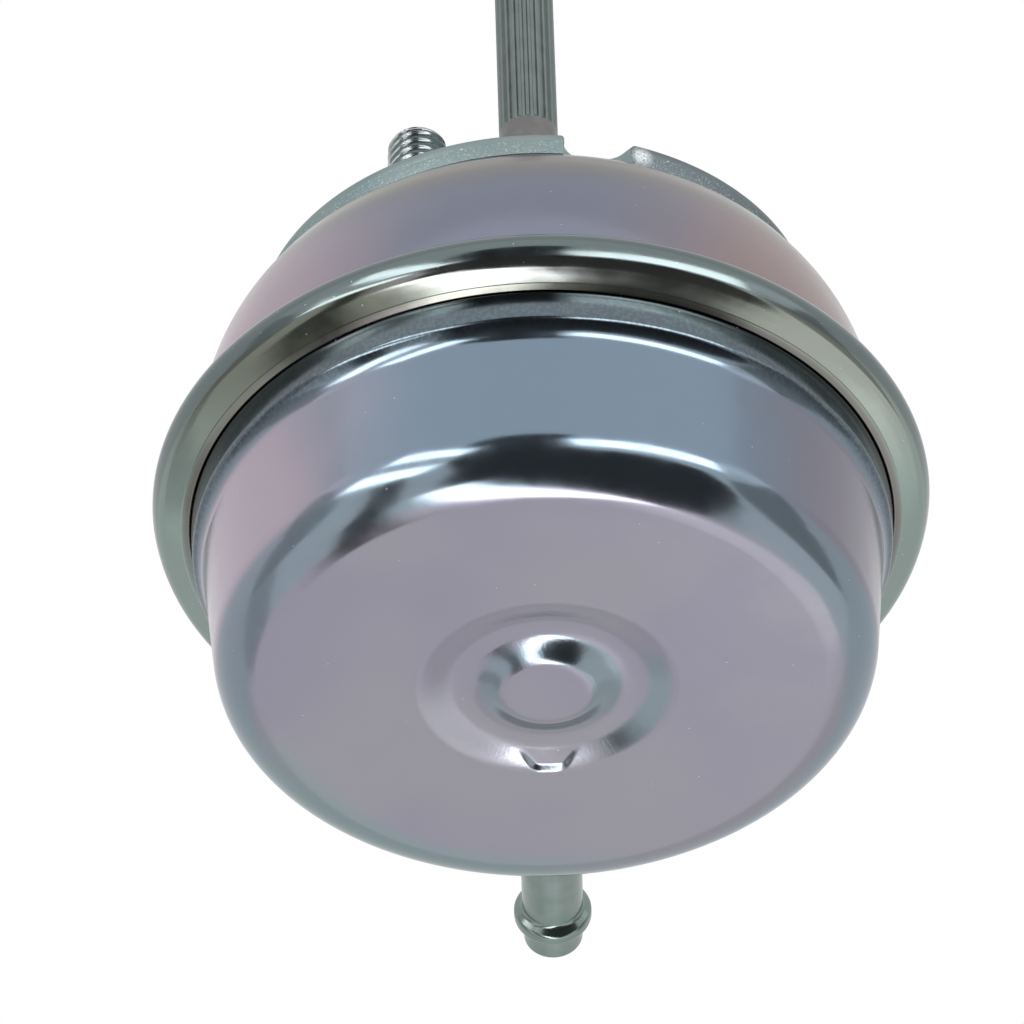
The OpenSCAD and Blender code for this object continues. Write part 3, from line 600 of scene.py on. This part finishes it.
forgedSteel = dullSteel("forgedZincSteel", "#7d8384", "#8a8e8d", 0.38, 0.35, 0.012, 3.0)
pressedSteel = dullSteel("pressedSteelSheet", "#93948f", "#868985", 0.32, 0.25, 0.002, 6.0)
springSteel = dullSteel("peenedSpringWire", "#5f6265", "#6d6f70", 0.36, 0.12, 0.004)
sinteredBronze = mattSolid("oiledSinteredBronze", "#8a6c3e", "#6f5530", 0.42, 0.15, 0.02, 1.0)
diaphragmRubber = mattSolid("fabricBackedRubber", "#262628", "#2e2e30", 0.7, 0.2, 0.01, 0.0, 0.5)
bumperRubber = mattSolid("mouldedRubber", "#202022", "#29292b", 0.6, 0.25, 0.006)
oiledFelt = mattSolid("oiledFelt", "#4d4840", "#5e584e", 0.9, 0.12, 0.08)
print("materials made")


# lower can

lowerCan = {
    "sheet": 1.2,
    "faceZ": -47.3,
    # pressed recess and its boss: (radius, depth), less than nothing stands proud
    "recess": [(0, -0.6), (1.5, -0.6), (2.8, -0.6), (3.8, -0.592), (4.3, -0.55), (4.8, -0.4), (5.3, -0.14),
               (5.8, 0.14), (6.3, 0.38), (6.7, 0.54), (7.1, 0.66), (7.5, 0.725), (8.0, 0.75), (8.8, 0.75),
               (9.4, 0.725), (9.9, 0.64), (10.4, 0.51), (10.9, 0.37), (11.4, 0.23), (11.9, 0.11),
               (12.3, 0.035), (12.7, 0.0)],
    "floorRadius": 9.2, "recessDepth": 0.75, "recessRadius": 12.6,
    "faceRadius": 31.7, "faceBend": 5.3,
    # wall, then the small step under the rim that the crimping seats on
    "wall": [(33.2, -31.4, 3.0), (34.2, -30.2, 1.1), (34.38, -25.9, 0.2), (36.9, -25.9, 0)],
    "holeRadius": 3.1, "holeZ": -35.3,
    # V mark pressed into the recess's wall on the nipple's side
    "markFrom": 8.4, "markWidth": 5.6, "markTipWidth": 1.4, "markEdge": 0.9, "markTip": 0.8,
    "markFall": 0.52,
}


def softCurve(points, step=0.15):
    # smooth curve through the points
    curve = []
    for i in range(len(points) - 1):
        p0, p1 = Vector(points[max(0, i - 1)]), Vector(points[i])
        p2, p3 = Vector(points[i + 1]), Vector(points[min(len(points) - 1, i + 2)])
        t1, t2 = (p2 - p0) / max(1e-6, p2.x - p0.x), (p3 - p1) / max(1e-6, p3.x - p1.x)
        width = p2.x - p1.x
        count = max(1, math.ceil(width / step))
        for k in range(count):
            t = k / count
            curve.append(p1 * (1 + 2 * t) * (1 - t) ** 2 + p2 * t * t * (3 - 2 * t)
                         + (t1 * t * (1 - t) ** 2 + t2 * t * t * (t - 1)) * width)
    return curve + [Vector(points[-1])]


def pressMark(x, y, z):
    # the recess's floor runs on through its wall in a V
    c = lowerCan
    if y < c["markFrom"] or abs(x) > c["markWidth"] or z > c["faceZ"] + c["recessDepth"] + 0.01:
        return z
    r = math.hypot(x, y)
    along = max(0, (r - c["floorRadius"]) / (c["recessRadius"] - c["floorRadius"]))
    half = (c["markWidth"] + (c["markTipWidth"] - c["markWidth"]) * along) / 2
    floor = c["faceZ"] + c["recessDepth"] - c["markFall"] * along
    inside = 1 - smoothStep(half, half + c["markEdge"], abs(x))
    inside *= 1 - min(1, max(0, (r - c["recessRadius"] + c["markTip"]) / c["markTip"]))
    return z + max(0.0, floor - z) * inside


def makeLowerCan():
    c = lowerCan
    face, edge = c["faceZ"], c["recess"][-1][0]
    pressed = [Vector((p.x, face + p.y)) for p in softCurve(c["recess"])]
    path = [(edge, face, 0), (c["faceRadius"], face, c["faceBend"])] + c["wall"]
    outer = [(p.x, p.y) for p in pressed[:-1] + bentPath(path, 2.5)]
    inner = [(p.x, p.y + c["sheet"]) for p in pressed[:-1]]
    inner += [(p.x, p.y) for p in bentPath(besidePath(path, c["sheet"]))]
    inner.reverse()
    piece = lathe("drawnLowerCan", outer + inner, lowerZinc, 384, reshape=pressMark)
    cutHole(piece, (0, 33, c["holeZ"]), (0, 1, 0), c["holeRadius"], 8)
    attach(piece, "canister")
    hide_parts("lower_can")


# upper can and its crimped rim

upperCan = {
    "sheet": 1.2,
    "topZ": -2.5, "holeRadius": 6.5, "topRadius": 28.55, "topBend": 6.0,
    "shoulderRadius": 32.2, "shoulderDrop": 6.2, "shoulderBend": 19.0,
    "wallRadius": 34.3, "wallDrop": 13.6, "wallBend": 36.0,
    "rimTop": -21.86, "rimRadius": 38.1, "rimBottom": -27.1, "lipRadius": 34.6, "rimBend": 2.5,
    # outside of the rolled rim, from its outermost line round to the lip
    "rimOutside": [(38.68, -21.86, 2.2), (37.95, -24.9, 5.0), (37.55, -26.0, 1.5), (36.3, -26.46, 14.0),
                   (35.32, -26.78, 0.1), (35.24, -26.77, 0.06), (34.42, -27.08, 0.14), (34.4, -26.7, 0)],
}


def makeUpperCan():
    c = upperCan
    path = [
        (c["holeRadius"], c["topZ"], 0),
        (c["topRadius"], c["topZ"], c["topBend"]),
        (c["shoulderRadius"], c["topZ"] - c["shoulderDrop"], c["shoulderBend"]),
        (c["wallRadius"], c["topZ"] - c["wallDrop"], c["wallBend"]),
        (c["wallRadius"], c["rimTop"], 1.0),
    ]
    plainRim = [(c["rimRadius"], c["rimTop"], c["rimBend"]), (c["rimRadius"], c["rimBottom"], c["rimBend"]),
                (c["lipRadius"], c["rimBottom"], 0)]
    outer = bentPath(path + c["rimOutside"], 2.5)
    inner = bentPath(besidePath(path + plainRim, -c["sheet"]))
    profile = [(p.x, p.y) for p in outer] + [(p.x, p.y) for p in reversed(inner)]
    piece = lathe("crimpedUpperCan", profile, upperZinc, closed=True)
    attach(piece, "canister")
    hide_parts("upper_can")


makeLowerCan()
makeUpperCan()
print("cans drawn")


# mounting plate

plate = {
    "radius": 27.8, "thickness": 2.5, "boreRadius": 6.5,
    "notchDepth": 3.7, "notchFloor": 5.2, "notchX": 3.1, "notchLean": 0.6,
    "leftFillet": 2.6, "rightFillet": 1.9, "mouthFillet": 0.35,
    "studCircle": 18.0, "studHole": 3.3, "studAngle": -128.3,
}


def circlePoints(radius, centre=(0, 0), count=96):
    return [Vector((centre[0] + radius * math.cos(2 * math.pi * k / count),
                    centre[1] + radius * math.sin(2 * math.pi * k / count))) for k in range(count)]


def plateOutline():
    # round edge with the notch cut in, counter-clockwise
    p = plate
    radius, floor = p["radius"], -(p["radius"] - p["notchDepth"])
    leftX = p["notchX"] + p["notchLean"] / 2
    mouthLeft = (leftX, -math.sqrt(radius ** 2 - leftX ** 2))
    offset = p["notchX"] + p["notchFloor"] + floor
    # the flank is x = offset - y; it meets the circle where x^2 + y^2 = r^2
    root = math.sqrt(2 * radius ** 2 - offset ** 2)
    y = (offset - root) / 2
    mouthRight = (offset - y, y)
    path = [(*mouthLeft, p["mouthFillet"]), (p["notchX"] - p["notchLean"] / 2, floor, p["leftFillet"]),
            (p["notchX"] + p["notchFloor"], floor, p["rightFillet"]), (*mouthRight, p["mouthFillet"])]
    startAngle = math.atan2(mouthRight[1], mouthRight[0])
    endAngle = math.atan2(mouthLeft[1], mouthLeft[0]) + 2 * math.pi
    count = 300
    ring = [(radius * math.cos(startAngle + (endAngle - startAngle) * k / count),
             radius * math.sin(startAngle + (endAngle - startAngle) * k / count)) for k in range(1, count)]
    before, after = ring[-1], ring[0]
    bends = bentPath([(*before, 0)] + path + [(*after, 0)], 9, 0.04, 0.6)
    return [Vector(v) for v in ring[1:-1]] + bends


def loftPlate(name, loops, rings, material):
    # loops are the outline and the holes; each ring is (height, inset)
    vertices, faces, rows = [], [], []
    for number, loop in enumerate(loops):
        count = len(loop)
        sign = 1 if number == 0 else -1
        normals = []
        for k in range(count):
            t = (loop[(k + 1) % count] - loop[k - 1]).normalized()
            normals.append(Vector((t.y, -t.x)))
        levels = []
        for z, inset in rings:
            levels.append([len(vertices) + k for k in range(count)])
            for k in range(count):
                v = loop[k] - normals[k] * inset * sign
                vertices.append((v.x, v.y, z))
        rows.append(levels)
        for low, high in zip(levels[:-1], levels[1:]):
            for k in range(count):
                n = (k + 1) % count
                faces.append((low[k], low[n], high[n], high[k]))
    for level in (0, -1):
        outlines = [[Vector(vertices[i]) for i in levels[level]] for levels in rows]
        flatIndex = [i for levels in rows for i in levels[level]]
        for triangle in geometry.tessellate_polygon(outlines):
            faces.append(tuple(flatIndex[i] for i in triangle))
    return meshObject(name, vertices, faces, material, 32)


def makePlate():
    p = plate
    loops = [plateOutline(), circlePoints(p["boreRadius"], count=120)]
    for i in range(3):
        a = math.radians(p["studAngle"] + 120 * i)
        centre = (p["studCircle"] * math.cos(a), p["studCircle"] * math.sin(a))
        loops.append(circlePoints(p["studHole"], centre, 64))
    t = p["thickness"]
    # the sheared edge from the top down: rolled-over corner, smooth band, torn band
    rings = [(0, 0.30), (-0.03, 0.18), (-0.09, 0.09), (-0.18, 0.03), (-0.30, 0.0), (-0.6, 0.0), (-0.9, 0.0),
             (-1.0, 0.03), (-1.2, 0.05), (-t + 0.15, 0.12), (-t + 0.05, 0.15), (-t, 0.22)]
    piece = loftPlate("shearedMountingPlate", loops, rings, plateZinc)
    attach(piece, "canister")
    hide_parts("mounting_plate")


makePlate()
print("plate cut")


# mounting studs, with their rolled M6 threads

stud = {
    "radius": 3.0, "length": 12.6, "tip": 1.7, "tipIn": 1.3,
    "pitch": 1.0, "threadDepth": 0.61, "threadFrom": 0.9,
    "runOut": 1.2,           # mm over which the thread fades in above the plate
    "shankRadius": 3.3, "headRadius": 4.8, "headThickness": 1.5, "headZ": -3.7, "headEdge": 0.3,
    "turnEach": 47,          # degrees by which each stud's thread starts further round
    "around": 72, "perTurn": 14,
}


def threadRadius(phase, outer, depth):
    # phase 0 is the crest's middle, 0.5 the root's; rolled threads have full, rounded crests
    p = abs((phase + 0.5) % 1.0 - 0.5)
    return outer - depth * (math.sin(math.pi * p) ** 2) ** 0.8


def makeStud(name, x, y, turn):
    s = stud
    around, perTurn = s["around"], s["perTurn"]
    vertices, faces = [], []
    top, low = s["length"], s["threadFrom"]
    turns = (top - low) / s["pitch"] + 2
    rows = int(turns * perTurn)
    for j in range(rows + 1):
        for k in range(around):
            share = k / around
            z = low + (j / perTurn - 1 + share) * s["pitch"]
            clamped = min(top, max(low, z))
            r = threadRadius(j / perTurn, s["radius"], s["threadDepth"])
            runOut = min(1.0, max(0.0, (clamped - low) / s["runOut"]))
            r = s["radius"] - (s["radius"] - r) * runOut
            fromTip = top - clamped
            if fromTip < s["tip"]:
                dome = math.sqrt(max(0, 1 - (1 - fromTip / s["tip"]) ** 2))
                r = min(r, s["radius"] - s["tipIn"] * (1 - dome))
            a = 2 * math.pi * share + turn
            vertices.append((x + r * math.cos(a), y + r * math.sin(a), clamped))
    for j in range(rows):
        for k in range(around - 1):
            a = j * around + k
            faces.append((a, a + 1, a + around + 1, a + around))
        a = j * around + around - 1
        if j + 1 <= rows - 1:
            faces.append((a, (j + 1) * around, (j + 2) * around, a + around))
    topCentre = len(vertices)
    vertices.append((x, y, top))
    lastRow = (rows - 1) * around
    for k in range(around):
        faces.append((lastRow + k, lastRow + (k + 1) % around, topCentre))
    # shank and head below the plate's top face
    under = s["headZ"] - s["headThickness"]
    plain = [(s["radius"], low), (s["radius"], 0.0), (s["shankRadius"], 0.0), (s["shankRadius"], s["headZ"]),
             (s["headRadius"], s["headZ"]), (s["headRadius"], under + s["headEdge"]),
             (s["headRadius"] - s["headEdge"], under), (0, under)]
    base = len(vertices)
    for r, z in plain[:-1]:
        for k in range(around):
            a = 2 * math.pi * k / around + turn
            vertices.append((x + r * math.cos(a), y + r * math.sin(a), z))
    vertices.append((x, y, plain[-1][1]))
    for j in range(len(plain) - 2):
        for k in range(around):
            n = (k + 1) % around
            faces.append((base + j * around + k, base + j * around + n, base + (j + 1) * around + n,
                          base + (j + 1) * around + k))
    lastRow = base + (len(plain) - 2) * around
    for k in range(around):
        faces.append((lastRow + k, lastRow + (k + 1) % around, len(vertices) - 1))
    piece = meshObject(name, vertices, faces, threadSteel, 50)
    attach(piece, "canister")
    return piece


for i in range(3):
    a = math.radians(plate["studAngle"] + 120 * i)
    made = makeStud("threadedStud%d" % (i + 1), plate["studCircle"] * math.cos(a),
                    plate["studCircle"] * math.sin(a), math.radians(stud["turnEach"] * i))
    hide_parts("mounting_studs")
print("studs threaded")


# hose nipple

nipple = {
    "z": -35.3, "wallY": 33.2, "sheet": 1.2, "bore": 1.7, "tube": 3.1, "collar": 4.8, "collarLength": 2.2,
    "reach": 53.6, "barb": 3.95, "barbLength": 2.7, "ramp": 0.7, "step": 0.9, "tip": 3.0, "tipLength": 2.8,
    "edge": 0.6,
}


def makeNipple():
    n = nipple
    wall, reach, edge = n["wallY"], n["reach"], n["edge"]
    barbFrom, tipFrom = reach - n["tipLength"] - n["barbLength"], reach - n["tipLength"]
    path = [
        (n["bore"], wall - n["sheet"], 0),
        (n["collar"], wall - n["sheet"], 0),
        (n["collar"], wall + n["collarLength"], edge),
        (n["tube"], wall + n["collarLength"], edge),
        (n["tube"], barbFrom, edge),
        (n["barb"], barbFrom + n["ramp"], edge),
        (n["barb"], tipFrom - n["step"], edge),
        (n["tip"], tipFrom, edge / 2),
        (n["tip"], reach, edge),
        (n["bore"], reach, 0.2),
        (n["bore"], wall - n["sheet"] + 0.3, 0),
    ]
    profile = [(p.x, p.y) for p in bentPath(path, 4)]
    piece = lathe("turnedHoseNipple", profile, nippleSteel, 128, closed=True)
    piece.data.transform(Matrix.Translation((0, 0, n["z"] * mm)) @ Matrix.Rotation(-math.pi / 2, 4, "X"))
    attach(piece, "canister")
    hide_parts("vacuum_nipple")


makeNipple()
print("nipple turned")


# push rod

rod = {
    "radius": 3.0, "middleZ": 10, "ribsFrom": 26.5, "top": 62.5, "ribs": 22, "depth": 0.28, "fadeIn": 0.5,
    "spigotRadius": 2.5, "spigotZ": -18.8, "spigotEdge": 0.5,
    "collarRadius": 5.0, "clampZ": -8.1, "collarThickness": 1.2,
}


def makeRod():
    r = rod
    bottom, collarTop = r["spigotZ"], r["clampZ"] + r["collarThickness"]
    lower = [(0, bottom), (r["spigotRadius"] - r["spigotEdge"], bottom),
             (r["spigotRadius"], bottom + r["spigotEdge"]), (r["spigotRadius"], r["clampZ"]),
             (r["collarRadius"], r["clampZ"]), (r["collarRadius"], collarTop), (r["radius"], collarTop),
             (r["radius"], r["middleZ"]), (r["radius"], r["ribsFrom"])]
    plain = lathe("drawnPushRod", lower, rodSmooth, 96)
    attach(plain, "rod")
    # groove corners as shares of one rib's pitch
    shape = [(0.0, 0.0), (0.09, 0.0), (0.16, 0.12), (0.22, 0.75), (0.28, 1.0), (0.5, 1.0), (0.72, 1.0),
             (0.78, 0.75), (0.84, 0.12), (0.91, 0.0)]
    count = r["ribs"] * len(shape)
    # rows close together where the ribs begin, then even ones up to the rod's end
    levels = [r["ribsFrom"] + d for d in (0, 0.02, 0.12, 0.25, 0.4, 0.55)]
    evenFrom = r["ribsFrom"] + 0.6
    levels += [evenFrom + (r["top"] - evenFrom) * k / 24 for k in range(25)]
    vertices, faces = [], []
    for z in levels:
        fade = smoothStep(0, r["fadeIn"], z - r["ribsFrom"])
        for i in range(r["ribs"]):
            for share, depth in shape:
                a = 2 * math.pi * (i + share) / r["ribs"]
                radius = r["radius"] - r["depth"] * depth * fade
                vertices.append((radius * math.cos(a), radius * math.sin(a), z))
    for j in range(len(levels) - 1):
        for k in range(count):
            n = (k + 1) % count
            faces.append((j * count + k, j * count + n, (j + 1) * count + n, (j + 1) * count + k))
    centre = len(vertices)
    vertices.append((0, 0, r["top"]))
    lastRow = (len(levels) - 1) * count
    for k in range(count):
        faces.append((lastRow + k, lastRow + (k + 1) % count, centre))
    ribbed = meshObject("ribbedRodLength", vertices, faces, rodRibs, 40)
    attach(ribbed, "rod")
    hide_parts("push_rod")


makeRod()
print("rod drawn")


# return spring, wound as in its imported shape with finer wire facets

spring = {
    "wire": 1.3, "coil": 16.2, "foot": -43.75, "head": -12.45, "active": 4, "gap": 0.05,
    "fixedEnd": -45.1, "keep": 0.558, "endShrink": 0.82,
}


def springRise(turn):
    c = spring
    turns = c["active"] + 2
    closed = 2 * c["wire"] + c["gap"]
    pitch = (c["head"] - c["foot"] - 2 * closed) / c["active"]
    if turn <= 1:
        return closed * turn
    if turn >= turns - 1:
        return closed + c["active"] * pitch + closed * (turn - turns + 1)
    return closed + pitch * (turn - 1)


def makeSpring():
    c = spring
    sides, perTurn = 20, 72
    rings = (c["active"] + 2) * perTurn
    vertices, faces = [], []
    for i in range(rings + 1):
        turn = i / perTurn
        z, a = c["foot"] + springRise(turn), 2 * math.pi * turn
        # the cut ends are slightly rounded
        shrink = c["endShrink"] if i in (0, rings) else 1.0
        for k in range(sides):
            b = 2 * math.pi * k / sides
            r = c["coil"] + c["wire"] * shrink * math.cos(b)
            vertices.append((r * math.cos(a), r * math.sin(a), z + c["wire"] * shrink * math.sin(b)))
    for i in range(rings):
        for k in range(sides):
            n = (k + 1) % sides
            faces.append((i * sides + k, i * sides + n, (i + 1) * sides + n, (i + 1) * sides + k))
    faces.append(tuple(range(sides)))
    faces.append(tuple(rings * sides + k for k in range(sides)))
    piece = meshObject("woundReturnSpring", vertices, faces, springSteel, 60)
    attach(piece, "canister")
    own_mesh(piece)
    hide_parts("return_spring")


# rolling diaphragm, its bead held by the rim and its middle by the piston

diaphragmShape = {
    "rubber": 0.8, "hole": 2.6, "top": -9.9, "sleeve": 27.3, "sleeveBend": 2.3, "rollZ": -29.9, "wall": 32.1,
    "rollBend": 2.38, "beadZ": -24.7, "flangeBend": 1.8, "flangeFrom": 34.0, "flange": 35.5, "bead": 1.6,
}


def makeDiaphragm():
    c = diaphragmShape
    path = [(c["hole"], c["top"], 0), (c["sleeve"], c["top"], c["sleeveBend"]),
            (c["sleeve"], c["rollZ"], c["rollBend"]), (c["wall"], c["rollZ"], c["rollBend"]),
            (c["wall"], c["beadZ"], c["flangeBend"]), (c["flangeFrom"], c["beadZ"], 0)]
    low = [(p.x, p.y) for p in bentPath(path, 6)]
    high = [(p.x, p.y) for p in bentPath(besidePath(path, c["rubber"]), 6)]
    middle, half = c["beadZ"] + c["bead"] / 2, c["bead"] / 2
    bead = [(c["flange"] + half * math.sin(math.radians(a)), middle - half * math.cos(math.radians(a)))
            for a in range(0, 181, 15)]
    profile = low + bead + [(c["flangeFrom"], c["beadZ"] + c["bead"])] + list(reversed(high))
    piece = lathe("foldedDiaphragm", profile, diaphragmRubber, 160, closed=True)
    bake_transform(piece)
    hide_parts("diaphragm")


makeSpring()
makeDiaphragm()
print("spring wound and diaphragm folded")


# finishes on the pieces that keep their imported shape

finishes = {
    "guide_housing": housingSteel, "guide_bush": sinteredBronze, "wiper_seal": oiledFelt,
    "wiper_retainer": pressedSteel, "spring_seat": pressedSteel, "piston_cup": pressedSteel,
    "diaphragm_plate": pressedSteel, "stop_bumper": bumperRubber, "clamp_washer": housingSteel,
    "lock_washer": springSteel, "piston_nut": threadSteel, "rod_end": forgedSteel, "eye_bush": sinteredBronze,
}
brokenEdges = {"rod_end": 0.45, "guide_housing": 0.15, "wiper_retainer": 0.12, "piston_nut": 0.25}  # mm
for name, material in finishes.items():
    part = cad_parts[name]
    part.data.materials.clear()
    part.data.materials.append(material)
for name, width in brokenEdges.items():
    # broken edges as on the forged, turned and pressed originals
    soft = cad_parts[name].modifiers.new("brokenEdges", "BEVEL")
    soft.width, soft.segments, soft.limit_method, soft.angle_limit = width * mm, 3, "ANGLE", math.radians(40)
print("packed pieces finished")
